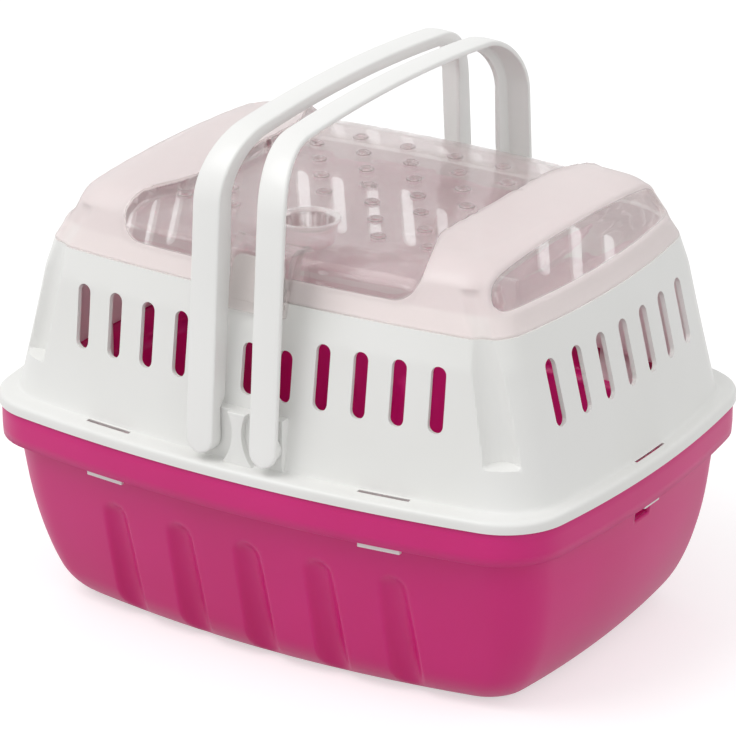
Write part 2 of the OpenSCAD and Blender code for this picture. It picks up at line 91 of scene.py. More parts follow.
def loop(n_side, n_corner, n_end):
    """The outline's parameter and its two signs once round, anticlockwise from the middle of the right end."""
    along = [np.arange(n_side) / n_side, 1 + np.arange(n_corner) / n_corner, 2 + np.arange(n_end + 1) / n_end]
    q = np.concatenate(along)
    turn, m = np.concatenate([q[:0:-1], q[:-1], q[:0:-1], q[:-1]]), len(q) - 1
    return turn, np.repeat([1, -1, -1, 1], m), np.repeat([1, 1, -1, -1], m)


def grid_faces(rows, cols, closed=True):
    """Quads over a grid of rows and columns; closed joins the last column to the first."""
    n = np.arange(rows * cols).reshape(rows, cols)
    a, b = (n, np.roll(n, -1, 1)) if closed else (n[:, :-1], n[:, 1:])
    return np.stack([a[:-1], b[:-1], b[1:], a[1:]], -1).reshape(-1, 4)


def piece(name, points, faces, body, material, bevel=0.0, wall=0.0):
    """A smooth mesh from points in millimetres and faces, riding on a body. wall thickens it inwards, and bevel
    rounds its edges."""
    mesh = bpy.data.meshes.new(name)
    points = np.asarray(points, float).reshape(-1, 3) * 0.001
    mesh.from_pydata(points.tolist(), [], [list(map(int, f)) for f in faces])
    mesh.validate()
    mesh.shade_smooth()
    mesh.materials.append(material)
    made = bpy.data.objects.new(name, mesh)
    bpy.context.scene.collection.objects.link(made)
    if wall:
        solid = made.modifiers.new("wall", "SOLIDIFY")
        solid.thickness, solid.offset, solid.use_even_offset = wall * 0.001, -1, True
    if bevel:
        edge = made.modifiers.new("edge", "BEVEL")
        edge.width, edge.segments, edge.limit_method = bevel * 0.001, 2, "ANGLE"
        edge.angle_limit, edge.harden_normals = 0.7, True
    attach(made, body)
    return made


def linear(code):
    """An sRGB hex colour as a linear one, with alpha."""
    c = np.array([int(code[i : i + 2], 16) for i in (1, 3, 5)]) / 255
    return [*np.where(c <= 0.04045, c / 12.92, ((c + 0.055) / 1.055) ** 2.4).tolist(), 1.0]


def shader(tree, kind, settings=None, links=None):
    """Adds one node, with its settings by socket or property and its inputs' links."""
    made = tree.nodes.new(kind)
    for key, value in (settings or {}).items():
        if isinstance(key, int) or key in made.inputs:
            made.inputs[key].default_value = value
        else:
            setattr(made, key, value)
    for key, source in (links or {}).items():
        tree.links.new(source, made.inputs[key])
    return made


def moulded(name, code, deep, roughness, grain_mm, bump_mm, subsurface=0.0):
    """Injection-moulded polypropylene: the colour clouds a little where the melt cooled unevenly, and a fine mould
    grain breaks the gloss. The grain is drawn coarser than the real spark texture so that it shows."""
    made = bpy.data.materials.new(name)
    made.use_nodes = True
    tree = made.node_tree
    tree.nodes.clear()
    place = shader(tree, "ShaderNodeTexCoord").outputs["Object"]
    cloud = shader(tree, "ShaderNodeTexNoise", {"Scale": 14.0, "Detail": 2.0}, {"Vector": place})
    tone = shader(tree, "ShaderNodeValToRGB", {}, {"Fac": cloud.outputs["Fac"]})
    tone.color_ramp.elements[0].position, tone.color_ramp.elements[1].position = 0.3, 0.7
    tone.color_ramp.elements[0].color, tone.color_ramp.elements[1].color = linear(deep), linear(code)
    grain = shader(tree, "ShaderNodeTexNoise", {"Scale": 1000 / grain_mm, "Detail": 3.0}, {"Vector": place})
    settings = {"Strength": 0.25, "Distance": bump_mm * 0.001}
    bump = shader(tree, "ShaderNodeBump", settings, {"Height": grain.outputs["Fac"]})
    settings = {"Roughness": roughness, "IOR": 1.49, "Subsurface Weight": subsurface, "Subsurface Scale": 0.004,
                "Subsurface Radius": (1.0, 0.35, 0.45)}
    links = {"Base Color": tone.outputs["Color"], "Normal": bump.outputs["Normal"]}
    body = shader(tree, "ShaderNodeBsdfPrincipled", settings, links)
    shader(tree, "ShaderNodeOutputMaterial", {}, {"Surface": body.outputs["BSDF"]})
    return made


def rounded_in(z, height, depth):
    """How far a quarter ellipse stands in at a height above its lower end."""
    return depth * (1 - np.sqrt(1 - np.clip((height - z) / height, 0, 1) ** 2))


def tub_form(z):
    """Outline of the tub's wall at a height: it leans in downwards and rounds under, gently at the ends."""
    t = z / WALL_TOP
    half_l = HALF_L - BAND_IN - LEDGE_W - 0.08 * (WALL_TOP - z) - rounded_in(z, 62, 27)
    half_d = HALF_D - BAND_IN - LEDGE_W - SIDE_LEAN * (WALL_TOP - z) - rounded_in(z, 16, 14)
    return np.stack([half_l, half_d, mix(13, 15, t), mix(7, 11, t), mix(17, 27, t)], -1)


def fluted(x, y, z, extra):
    """Presses the flutes into a long side: a leaning cylinder with a round top is taken out, with its edges eased."""
    centre = np.clip(np.round(x / FLUTE_PITCH), -2, 2) * FLUTE_PITCH
    off, r = np.abs(x - centre), FLUTE_R + extra
    bow = 15 * (centre / HALF_L) ** 2
    axis = HALF_D - BAND_IN - LEDGE_W - SIDE_LEAN * WALL_TOP - FLUTE_DEPTH + FLUTE_R - bow
    lean = SIDE_LEAN + (FLUTE_DEPTH - FLUTE_TOP_DEPTH) / FLUTE_TOP
    off = np.hypot(off, np.maximum(z - FLUTE_TOP, 0))
    floor = axis + lean * z - np.sqrt(np.maximum(r * r - off * off, 0)) + 2.5 * np.maximum(off - r, 0)
    h = np.clip(0.5 + 0.5 * (y - floor) / FLUTE_EASE, 0, 1)
    return mix(y, floor, h) - FLUTE_EASE * h * (1 - h)


def inset(form, w):
    """The same outlines, a wall's thickness further in."""
    return form - np.array([w, w, 0, 0, w])


def wider(form, w):
    """The same outline with its sides and ends moved out, and its corners and bows as they were."""
    return form + np.array([w, w, 0, 0, 0])


turn, sign_x, sign_y = loop(n_side=86, n_corner=22, n_end=44)
band = np.array([HALF_L - BAND_IN, HALF_D - BAND_IN + 0.3, SIDE_BOW, END_BOW, FLANGE_R - 0.7])
low = np.concatenate([[0, 0.12, 0.4, 0.9, 1.6, 2.5, 3.6, 5.0], np.linspace(6.5, WINDOW_LOW, 42)])
low = np.concatenate([low, [72.75, 74.5, 76.25, WALL_TOP - 1]])
outer, inner = tub_form(low), inset(tub_form(low[::-1]), WALL)
top = tub_form(np.array([WALL_TOP]))[0]
under_ledge = [
    (WALL_TOP, top), (LEDGE_Z - 0.8, wider(top, 0.1)), (LEDGE_Z - 0.2, wider(top, 0.8)),
    (LEDGE_Z, mix(top, band, 0.4)), (LEDGE_Z + 0.1, wider(band, -1)), (LEDGE_Z + 0.6, wider(band, -0.2)),
    (LEDGE_Z + 5, band), (SEAM - 5, band), (SEAM - 0.5, band), (SEAM - 0.1, wider(band, -0.3)),
]
over_ledge = [
    (SEAM, wider(band, -0.8)), (SEAM, inset(band, WALL - 0.6)), (SEAM - 0.5, inset(band, WALL)),
    (LEDGE_Z + 4, inset(band, WALL)), (LEDGE_Z + 2.6, inset(band, WALL)), (LEDGE_Z + 2.2, inset(band, WALL + 1)),
    (LEDGE_Z + 1.4, inset(top, WALL)), (LEDGE_Z - 1, inset(top, WALL)),
]
steps = under_ledge + over_ledge
form = np.concatenate([outer, np.array([s[1] for s in steps]), inner])
inner_low = np.where(low[::-1] < 8, low[::-1] * 0.75 + WALL, low[::-1])
height = np.concatenate([low, [s[0] for s in steps], inner_low])[:, None]
x, y = bowed(turn[None], *form.T[..., None], TUB_SPLIT_X, np.minimum(form[:, 1, None] * 0.62, TUB_SPLIT_Y))
inside = np.arange(len(height))[:, None] >= len(low) + len(under_ledge)
pressed = fluted(x * sign_x, y, height, np.where(inside, WALL, 0.0))
near = (turn < 1 + FLUTE_FADE)[None] & (height < 74)
y = np.where(near, mix(pressed, y, smooth((turn - 1) / FLUTE_FADE)[None]), y)
z = height + 0 * x
pink = moulded("pink_polypropylene_satin", "#D01278", "#C80C70", 0.42, 0.9, 0.03, subsurface=0.2)
cells = np.arange(x.size).reshape(x.shape)
faces = grid_faces(*x.shape)
row, col = faces[:, 0] // x.shape[1], faces[:, 0] % x.shape[1]
middle = (turn[col] + turn[(col + 1) % len(turn)]) / 2
level = (height[row, 0] + height[row + 1, 0]) / 2
window = (level > WINDOW_LOW) & (level < WALL_TOP - 1) & (middle > 3 - WINDOW_HALF / TUB_SPLIT_Y)
faces = faces[~window].tolist()
faces += [cells[0][::-1].tolist(), cells[-1].tolist()]
r0, r1 = np.flatnonzero(np.isclose(low, WINDOW_LOW))[0], len(low) - 1
for centre in (0, len(turn) // 2):
    c0, c1 = centre - N_WINDOW, centre + N_WINDOW
    across, upward = np.arange(c0, c1 + 1), np.arange(r0, r1 + 1)
    rim = [(r0, c) for c in across[:-1]] + [(r, c1) for r in upward[:-1]]
    rim += [(r1, c) for c in across[:0:-1]] + [(r, c0) for r in upward[:0:-1]]
    for (ra, ca), (rb, cb) in zip(rim, rim[1:] + rim[:1]):
        ends = [(ra, ca), (rb, cb), (len(height) - 1 - rb, cb), (len(height) - 1 - ra, ca)]
        faces.append([int(cells[r, c]) for r, c in ends])
tub = piece("tub_moulding", np.stack([x * sign_x, y * sign_y, z], -1), faces, "tub", pink)
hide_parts("base_tub")


# The vent shell: the white polypropylene upper housing. It leans in above a rounded flange, is pierced by a row of
# round-ended slots on every side, and ends in an upstand that the lid closes over.
SHELL_H, LID_GAP, LID_WALL = 77.7, 0.4, 1.6
PITCH_SIDE, PITCH_END, SLOT_W = 18.16, 18.6, 7.0
SLOT_LOW, SLOT_HIGH, SLOT_SHORT = 34.9, 64.2, 6.3
SIDE_FIELDS, END_FIELDS, SHOULDER_Z = 5.5, 3.5, 64.3
BAND_LOW, BAND_HIGH = 31.0, 68.0
N_EDGE, N_UP = 12, 16


def wall_form(h):
    """Outline of the shell's wall at a height above the seam: a steady lean, steeper above the shoulder."""
    k, s, t = np.minimum(h, SHOULDER_Z) - 6, np.maximum(h - SHOULDER_Z, 0), h / SHELL_H
    half_l, half_d = HALF_L - 7.2 - 0.245 * k - 0.3 * s, HALF_D - 10.6 - 0.146 * k - 0.32 * s
    return np.stack([half_l, half_d, mix(14.6, 8, t * t), mix(11.4, 9.8, t), mix(27, 20, t)], -1)


EDGE = wall_form(np.array([SHELL_H]))[0]
DOME_LEAN_X, DOME_LEAN_Y = 0.62, 0.36


def dome_form(h):
    """Outline of the lid's side wall at a height above its lower edge."""
    t = h / 20
    half_l, half_d = EDGE[0] - DOME_LEAN_X * h, EDGE[1] - DOME_LEAN_Y * h
    return np.stack([half_l, half_d, mix(8, 9, t), mix(9.8, 8, t), mix(20, 17, t)], -1)


def on_wall(form, q):
    """Points on rows of outlines; the split between side and corner draws in where the rows get small."""
    draw_in = 1 - np.minimum(form[:, 0, None] - 104, 20) / 20
    split_x, split_y = SIDE_FIELDS * PITCH_SIDE - 14 * draw_in, END_FIELDS * PITCH_END - 9 * draw_in
    return bowed(q, *form.T[..., None], split_x, split_y)


GROOVE_X, GROOVE_Y, GROOVE_R, GROOVE_LOW = HALF_L - 28.4, HALF_D - 24.7, 8.0, 24.0
GROOVE_LEAN, GROOVE_DIR = 0.2, np.array([-0.507, -0.862])


def grooved(x, y, axis_x, axis_y):
    """How far points of a corner go in along the groove's direction to lie on an upright cylinder cut into it, with
    the groove's edges eased."""
    dx, dy = x - axis_x, y - axis_y
    along, across = dx * GROOVE_DIR[0] + dy * GROOVE_DIR[1], dx * GROOVE_DIR[1] - dy * GROOVE_DIR[0]
    past = np.maximum(np.abs(across) - GROOVE_R, 0)
    reach = np.sqrt(np.maximum(GROOVE_R**2 - across**2, 0)) - along - 3 * past
    return 0.5 * (reach + np.sqrt(reach**2 + 0.6)) * (np.abs(across) < GROOVE_R + 2)


def weld(points, faces):
    """Joins points that lie within a hundredth of a millimetre, and drops the unused ones."""
    key, back = np.unique(np.round(points * 100).astype(int), axis=0, return_inverse=True)
    first = np.zeros(len(key), int)
    first[back.ravel()[::-1]] = np.arange(len(points))[::-1]
    faces = [back.ravel()[np.asarray(f)] for f in faces]
    return points[first], faces


flange = np.array([HALF_L, HALF_D, SIDE_BOW, END_BOW, FLANGE_R])
root = wall_form(np.array([6.0, 6.4, 7.4]))
flat = wider(flange, -2)
foot = [
    (0.0, flange), (2.0, flange), (3.4, flange), (4.3, wider(flange, -0.25)), (4.9, wider(flange, -0.9)), (5.2, flat),
    (5.25, mix(flat, root[0], 0.6)), (5.35, mix(flat, root[0], 0.85)), (5.6, wider(root[0], 0.4)),
    (6.3, wider(root[1], 0.1)), (7.4, root[2]),
]
SLIT_ROW, SLIT_FROM, SLIT_TO, END_SLIT = 6, 0.588, 0.835, 2.806
rise = np.array([10, 14, 18, 21, 22.8, 23.6, 24.2, 25, 27, BAND_LOW])
band_h = np.linspace(BAND_LOW, BAND_HIGH, N_UP + 1)
over = np.linspace(70, SHELL_H - LID_GAP, 5)
fit = LID_WALL + LID_GAP
lip = [(SHELL_H - LID_GAP, inset(EDGE, fit))]
lip += [(SHELL_H + h, inset(dome_form(np.array([h]))[0], fit)) for h in (4.0, 8.0)]
height = np.concatenate([[f[0] for f in foot], rise[:-1], band_h, over, [f[0] for f in lip]])[:, None]
walls = wall_form(np.concatenate([rise[:-1], band_h, over]))
form = np.concatenate([np.array([f[1] for f in foot]), walls, np.array([f[1] for f in lip])])
turn, sign_x, sign_y = loop(n_side=int(SIDE_FIELDS * N_EDGE), n_corner=40, n_end=int(END_FIELDS * N_EDGE))
x, y = on_wall(form, turn[None])
depth = grooved(x, y, GROOVE_X - GROOVE_LEAN * (height - GROOVE_LOW), GROOVE_Y)
depth = depth * smooth((height - GROOVE_LOW + 1) / 1.2) * (height < SHELL_H)
x, y = x + depth * GROOVE_DIR[0], y + depth * GROOVE_DIR[1]
points = [np.stack([x * sign_x, y * sign_y, height + 0 * x], -1).reshape(-1, 3)]
quads = grid_faces(*x.shape)
first_row = len(foot) + len(rise) - 1
row, col = quads[:, 0] // x.shape[1], quads[:, 0] % x.shape[1]
middle = (turn[col] + turn[(col + 1) % len(turn)]) / 2
slit = (row == SLIT_ROW) & (((middle > SLIT_FROM) & (middle < SLIT_TO)) | (middle > END_SLIT))
slotted = (row >= first_row) & (row < first_row + N_UP) & ((middle < 1) | (middle > 2))
quads = quads[~(slit | slotted)]
faces = [quads]
edge = np.linspace(-1, 1, N_EDGE + 1)[:-1]
up = np.linspace(0, 1, N_UP + 1)[:-1]
layers = np.array([0, 0.12, 0.3, 0.55, 0.8, 1.0])[:, None]


def slot_cell(pitch, high):
    """One field of the wall with its slot: rings that blend from the slot's round-ended outline to the field's
    rectangle. Returns the distance along the wall and the height above the seam."""
    r = SLOT_W / 2
    out_u = np.concatenate([edge, np.ones(N_UP), -edge, -np.ones(N_UP)]) * pitch / 2
    out_h = [np.full(N_EDGE, BAND_LOW), mix(BAND_LOW, BAND_HIGH, up), np.full(N_EDGE, BAND_HIGH),
             mix(BAND_HIGH, BAND_LOW, up)]
    turn_low, turn_high = np.radians(180 + 90 * (edge + 1)), np.radians(90 * (edge + 1))
    in_u = np.concatenate([r * np.cos(turn_low), np.full(N_UP, r), r * np.cos(turn_high), np.full(N_UP, -r)])
    low, high = SLOT_LOW + r, high - r
    in_h = [low + r * np.sin(turn_low), mix(low, high, up), high + r * np.sin(turn_high), mix(high, low, up)]
    return mix(in_u, out_u, layers), mix(np.concatenate(in_h), np.concatenate(out_h), layers)


SHORT_OF_SPLIT = 0.9999999
cell = grid_faces(len(layers), 2 * (N_EDGE + N_UP))
for side in (1, -1):
    for i in range(-5, 6):
        u, h = slot_cell(PITCH_SIDE, SLOT_HIGH - (SLOT_SHORT if abs(i) < 2 else 0))
        u = u + i * PITCH_SIDE
        f = wall_form(h.ravel())
        _, py = on_wall(f, np.abs(u.ravel())[:, None] / (SIDE_FIELDS * PITCH_SIDE) * SHORT_OF_SPLIT)
        faces.append((cell[:, ::-1] if side < 0 else cell) + sum(len(p) for p in points))
        points.append(np.stack([u.ravel(), side * py.ravel(), h.ravel()], -1))
    for i in range(-3, 4):
        u, h = slot_cell(PITCH_END, SLOT_HIGH)
        u = u + i * PITCH_END
        f = wall_form(h.ravel())
        px, _ = on_wall(f, 3 - np.abs(u.ravel())[:, None] / (END_FIELDS * PITCH_END) * SHORT_OF_SPLIT)
        faces.append((cell[:, ::-1] if side > 0 else cell) + sum(len(p) for p in points))
        points.append(np.stack([side * px.ravel(), u.ravel(), h.ravel()], -1))
points, faces = weld(np.concatenate(points) + [0, 0, SEAM], np.concatenate(faces))
white = moulded("white_polypropylene_satin", "#ECECEA", "#E8E8E5", 0.36, 0.8, 0.02)
shell = piece("shell_moulding", points, faces, "shell", white, bevel=0.35, wall=WALL)
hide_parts("vent_shell")


# The shell's small forms are moulded in one with it: the two pivot pads with their waisted posts and pins, the snap
# hooks that reach down through the tub's ledge, the latch tab and the hinge ears.
PAD_Y, PAD_Z0, PAD_H, PAD_HALF, PIVOT_X, PIVOT_Z = 103.0, 5.0, 24.0, 21.8, 16.15, 16.0
HINGE_X, HINGE_Y, HINGE_Z, KNUCKLE_R, HINGE_PIN_R = 60.0, 91.0, SEAM + SHELL_H + 0.3, 2.8, 1.6
HOOK_X, HOOK_HALF, HOOK_T, END_HOOK_HALF, HOOK_TOP = 71.0, 10.0, 1.1, 6.5, SEAM + 3
HOOK_TIP, HOOK_IN, PIVOT_PIN_R, EAR_AT, EAR_HALF = LEDGE_Z - 2.8, 1.7, 3.0, 8.9, 1.5


def prism(name, outline, low, high, axis, bevel, body, material):
    """An outline of points carried straight from low to high along an axis: X takes (y, z), Y takes (x, z) and
    Z takes (x, y)."""
    outline = np.asarray(outline, float)
    ends = [np.insert(outline, axis, value, axis=1) for value in (low, high)]
    n = len(outline)
    faces = [list(range(n))[::-1], list(range(n, 2 * n))] + grid_faces(2, n).tolist()
    area = np.sum(outline[:, 0] * np.roll(outline[:, 1], -1) - np.roll(outline[:, 0], -1) * outline[:, 1])
    if (area > 0) == (axis == 1):
        faces = [f[::-1] for f in faces]
    return piece(name, np.concatenate(ends), faces, body, material, bevel=bevel)


def ring(cx, cy, r, a0, a1, n):
    """Points on an arc between two angles in degrees."""
    t = np.radians(np.linspace(a0, a1, n))
    return np.stack([cx + r * np.cos(t), cy + r * np.sin(t)], -1)


def on_shell(name, outline, low, high, axis, bevel):
    """A prism of white polypropylene that is one with the shell."""
    prism(name, outline, low, high, axis, bevel, "shell", white)


pad = [[-PAD_HALF, PAD_Z0], [PAD_HALF, PAD_Z0], [PAD_HALF, PAD_Z0 + PAD_H], [-PAD_HALF, PAD_Z0 + PAD_H]]
waist = ring(24.6, PAD_Z0 + PAD_H * 0.6, 22, 180 - 26, 180 + 41, 14)
post = np.concatenate([waist[::-1], waist * [-1, 1]])
for name, side in (("front", -1), ("back", 1)):
    y0, y1 = sorted((side * PAD_Y, side * (PAD_Y - 9)))
    on_shell("pivot_pad_" + name, np.array(pad) + [0, SEAM], y0, y1, axis=1, bevel=0.6)
    y0, y1 = sorted((side * (PAD_Y - 0.5), side * (PAD_Y + 3)))
    on_shell("pivot_post_" + name, post + [0, SEAM], y0, y1, axis=1, bevel=0.5)
    for label, sx in (("left", -1), ("right", 1)):
        y0, y1 = sorted((side * (PAD_Y - 0.5), side * (PAD_Y + 6)))
        pin = ring(sx * PIVOT_X, SEAM + PIVOT_Z, PIVOT_PIN_R, 0, 348.75, 32)
        on_shell(f"pivot_pin_{name}_{label}", pin, y0, y1, axis=1, bevel=0.3)
        hook_y = side * (HALF_D - BAND_IN - WALL - SIDE_BOW * (HOOK_X / HALF_L) ** 2 - HOOK_IN)
        tilt = -side * sx * 2 * SIDE_BOW * HOOK_X / HALF_L**2
        hook = np.array([[-HOOK_HALF, -HOOK_T], [HOOK_HALF, -HOOK_T], [HOOK_HALF, HOOK_T], [-HOOK_HALF, HOOK_T]])
        hook = np.stack([hook[:, 0], hook[:, 1] + tilt * hook[:, 0]], -1) + [sx * HOOK_X, hook_y]
        on_shell(f"snap_hook_{name}_{label}", hook, HOOK_TIP, HOOK_TOP, axis=2, bevel=0.4)
for label, sx in (("left", -1), ("right", 1)):
    x0, x1 = (sx * (HALF_L - BAND_IN - WALL - HOOK_IN) + w for w in (-HOOK_T, HOOK_T))
    hook = [[x0, -END_HOOK_HALF], [x1, -END_HOOK_HALF], [x1, END_HOOK_HALF], [x0, END_HOOK_HALF]]
    on_shell("end_hook_" + label, hook, HOOK_TIP, HOOK_TOP, axis=2, bevel=0.4)
    for k, ear in enumerate((-EAR_AT, EAR_AT)):
        arm = [ring(HINGE_Y, HINGE_Z, KNUCKLE_R, -20, 190, 18),
               [[HINGE_Y - 4.4, HINGE_Z - 1.6], [HINGE_Y - 0.4, HINGE_Z - 13]]]
        x0 = sx * HINGE_X + ear
        on_shell(f"hinge_ear_{label}_{k}", np.concatenate(arm), x0 - EAR_HALF, x0 + EAR_HALF, axis=0, bevel=0.4)
    pin = ring(HINGE_Y, HINGE_Z, HINGE_PIN_R, 0, 345, 24)
    on_shell("hinge_pin_" + label, pin, sx * HINGE_X - 8.4, sx * HINGE_X + 8.4, axis=0, bevel=0.0)


def tongue_y(h):
    """How far out the tongue's front face stands at a height above the lid's edge."""
    return HALF_D - 20 - 0.235 * h


LID_Z = SEAM + SHELL_H
tab = np.concatenate([[[-13, -3], [13, -3]], ring(9, 12.2, 4, 0, 90, 8), ring(-9, 12.2, 4, 90, 180, 8)])
front = np.stack([tab[:, 0], -(tongue_y(tab[:, 1]) - 2.0), tab[:, 1] + LID_Z], -1)
n = len(tab)
faces = [list(range(n)), list(range(n, 2 * n))[::-1]] + [f[::-1] for f in grid_faces(2, n).tolist()]
points = np.concatenate([front, front + [0, 1.8, 0]])
piece("latch_tab", points, faces, "shell", white, bevel=0.5)


# The clear lid: a styrene dome with a sunken panel between two cross ridges, a recess in each sloping end, staggered
# air holes with raised collars, a finger well, and a tongue over the latch tab. The panel and the recesses are clear,
# and the ridges and the rim have the mould's satin finish.
PANEL_RISE, RIDGE_RISE, PANEL_HALF = 22.5, 5.0, 65.0
HOLE_PITCH, HOLE_ROW, WELL_R, WELL_Y, WELL_DEPTH = 25.0, 17.5, 10.8, -48.0, 10.0
SHOULDER_H, SHOULDER_IN, RECESS_X, RECESS_HALF, RECESS_LOW = 10.0, 17.0, 104.5, 74.0, 9.0
RECESS_R, PANEL_R, RECESS_DEPTH, BEAD_H, LID_GROOVE_IN, LID_GROOVE_TOP = 5.0, 12.0, 2.4, 0.55, 10.7, 16.5
NOTCH_HALF, NOTCH_Y, NOTCH_TOP, COLLAR_OPENING, HOLE_Y = 15.5, -60.0, 19.0, 3.0, 1.5
PANEL_Z = LID_Z + PANEL_RISE


def dome_rows(rise_total):
    """Rows of a flat-topped dome: a leaning wall, a soft shoulder and then outlines that shrink to the middle.
    Returns the outlines, heights and scales."""
    s = rise_total - SHOULDER_H
    wall_h = np.linspace(0, s, 12)
    t = np.linspace(0, 1, 16)[1:]
    over_in, over_h = SHOULDER_IN * (0.8 * (1 - np.sqrt(1 - t * t)) + 0.2 * t), s + SHOULDER_H * t
    base = dome_form(np.array([s]))[0]
    k = np.concatenate([np.linspace(1, 0.76, 25)[1:], np.linspace(0.76, 0.016, 37)[1:]])
    shrink = np.repeat(inset(base, SHOULDER_IN)[None], len(k), 0) + [0, 0, 0, 0, 0.2 * SHOULDER_IN]
    forms = np.concatenate([dome_form(wall_h), base - np.outer(over_in, [1, 1, 0, 0, 0.8]), shrink])
    scales = np.concatenate([np.ones(len(wall_h) + len(t)), k])
    return forms, np.concatenate([wall_h, over_h, np.full(len(k), rise_total)]), scales


def dome_points(rise_total, q):
    """Points of the dome over rows and columns, in the first quarter."""
    forms, h, k = dome_rows(rise_total)
    px, py = bowed(q[None], *forms.T[..., None], 0.70 * forms[:, 0, None], 0.62 * forms[:, 1, None])
    return px * k[:, None], py * k[:, None], h[:, None] + 0 * px


def normals(p):
    """Unit normals of a closed grid, from the cross product of its two directions."""
    across = np.roll(p, -1, 1) - np.roll(p, 1, 1)
    upward = np.gradient(p, axis=0)
    n = np.cross(across, upward)
    return n / np.maximum(np.linalg.norm(n, axis=-1, keepdims=True), 1e-9)


turn, sign_x, sign_y = loop(n_side=44, n_corner=40, n_end=40)
low_p, high_p = [np.array(dome_points(rise, turn)) for rise in (PANEL_RISE, PANEL_RISE + RIDGE_RISE)]
flare = 11 * smooth((low_p[1] - 40) / 40)
ridge = smooth((low_p[0] - PANEL_HALF - flare) / 3.2 + 0.5) * smooth(low_p[2] / 9)
p = mix(low_p, high_p, ridge) * np.stack([sign_x + 0 * turn, sign_y + 0 * turn, 1 + 0 * turn])[:, None]
p = np.moveaxis(p, 0, -1)


def outside(radius, *sides):
    """Distance outside a field that is within every side's limit, with its corners rounded: below 0 is within."""
    sides = np.stack(sides) + radius
    return np.sqrt((np.maximum(sides, 0) ** 2).sum(0)) + np.minimum(sides.max(0), 0) - radius


far_x, far_y, rise = np.abs(p[..., 0]), np.abs(p[..., 1]), p[..., 2]
inside_by = -outside(RECESS_R, RECESS_X - far_x, far_y - RECESS_HALF, RECESS_LOW - rise)
off_panel = outside(PANEL_R, far_x - PANEL_HALF - flare, RECESS_LOW + 0.4 - rise)
sunk = RECESS_DEPTH * smooth(inside_by / RECESS_DEPTH) - 0.6 * np.exp(-(((inside_by + 1.4) / 1.4) ** 2))
bead = BEAD_H * np.exp(-((off_panel / 1.1) ** 2)) * smooth(rise / 6)
p = p - normals(p) * (sunk * ridge * (far_x > 90) - bead)[..., None]
far_x, far_y, rise = np.abs(p[..., 0]), np.abs(p[..., 1]), p[..., 2]
axis_x, axis_y = GROOVE_X - LID_GROOVE_IN - DOME_LEAN_X * rise, GROOVE_Y - DOME_LEAN_Y * rise
depth = grooved(far_x, far_y, axis_x, axis_y) * (1 - smooth((rise - LID_GROOVE_TOP) / 1.5))
p[..., :2] += depth[..., None] * GROOVE_DIR * np.sign(p[..., :2])
satin = np.minimum(off_panel, 0.6 - inside_by).reshape(-1) + 0.4
p[..., 2] += LID_Z
faces = grid_faces(*p.shape[:2])
shape = p.shape
p = p.reshape(-1, 3)
hole_x, hole_y = [], []
for j in range(-3, 4):
    y = HOLE_Y + j * HOLE_ROW
    for i in np.arange(-2.5, 3) if j % 2 else np.arange(-2, 3):
        if np.hypot(i * HOLE_PITCH, y - WELL_Y) > WELL_R + 5:
            hole_x.append(i * HOLE_PITCH)
            hole_y.append(y)
openings = [(cx, cy, COLLAR_OPENING) for cx, cy in zip(hole_x, hole_y)] + [(0.0, WELL_Y, WELL_R + 1.4)]
for cx, cy, r in openings:
    away = np.hypot(p[:, 0] - cx, p[:, 1] - cy) + 50 * (p[:, 2] < PANEL_Z - 2)
    gone = away[faces].mean(1) < r
    rim = np.intersect1d(faces[gone].ravel(), faces[~gone].ravel())
    p[rim, :2] = [cx, cy] + (p[rim, :2] - [cx, cy]) * (r / np.maximum(away[rim], 1e-6))[:, None]
    faces = faces[~gone]
corners = p[faces]
in_front = (corners[..., 1].mean(1) < NOTCH_Y) & (corners[..., 2].mean(1) < LID_Z + NOTCH_TOP)
faces = faces[~(in_front & (np.abs(corners[..., 0]).max(1) < NOTCH_HALF))]
last = np.arange(shape[0] * shape[1]).reshape(shape[:2])[-1]
used = np.zeros(len(p), bool)
used[np.concatenate([faces.ravel(), last])] = True
number = np.cumsum(used) - 1
faces = number[faces].tolist() + [number[last].tolist()]


def clear_styrene(name, code):
    """Clear moulded styrene: high gloss, a slight wave where it cooled, and a breath of haze. Where the mould was
    blasted it is satin, lets light through and shows nothing sharp behind it: satin_mm is the distance into there."""
    made = bpy.data.materials.new(name)
    made.use_nodes = True
    tree = made.node_tree
    tree.nodes.clear()
    place = shader(tree, "ShaderNodeTexCoord").outputs["Object"]
    wave = shader(tree, "ShaderNodeTexNoise", {"Scale": 70.0, "Detail": 1.0}, {"Vector": place})
    bump = shader(tree, "ShaderNodeBump", {"Strength": 0.35, "Distance": 0.0012}, {"Height": wave.outputs["Fac"]})
    distance = shader(tree, "ShaderNodeAttribute", {"attribute_name": "satin_mm"}).outputs["Fac"]
    edge = {"From Min": 0.0, "From Max": 0.8}
    ranges = [{**edge, "To Min": a, "To Max": b} for a, b in ((0.06, 0.4), (0.66, 0.34), (0.52, 0.87))]
    rough, through, solid = [shader(tree, "ShaderNodeMapRange", r, {"Value": distance}).outputs[0] for r in ranges]
    settings = {"Base Color": linear(code), "IOR": 1.5}
    links = {"Roughness": rough, "Transmission Weight": through, "Alpha": solid, "Normal": bump.outputs["Normal"]}
    body = shader(tree, "ShaderNodeBsdfPrincipled", settings, links)
    shader(tree, "ShaderNodeOutputMaterial", {}, {"Surface": body.outputs["BSDF"]})
    return made


clear = clear_styrene("clear_styrene_gloss_and_satin", "#F5ECEB")
lid = piece("lid_dome", p[used], faces, "lid", clear, wall=LID_WALL)
lid.visible_shadow = False  # the lamps reach the cabin through it, as they do through clear styrene
distance = lid.data.attributes.new("satin_mm", "FLOAT", "POINT")
distance.data.foreach_set("value", satin[used].astype(np.float32))
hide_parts("clear_lid")


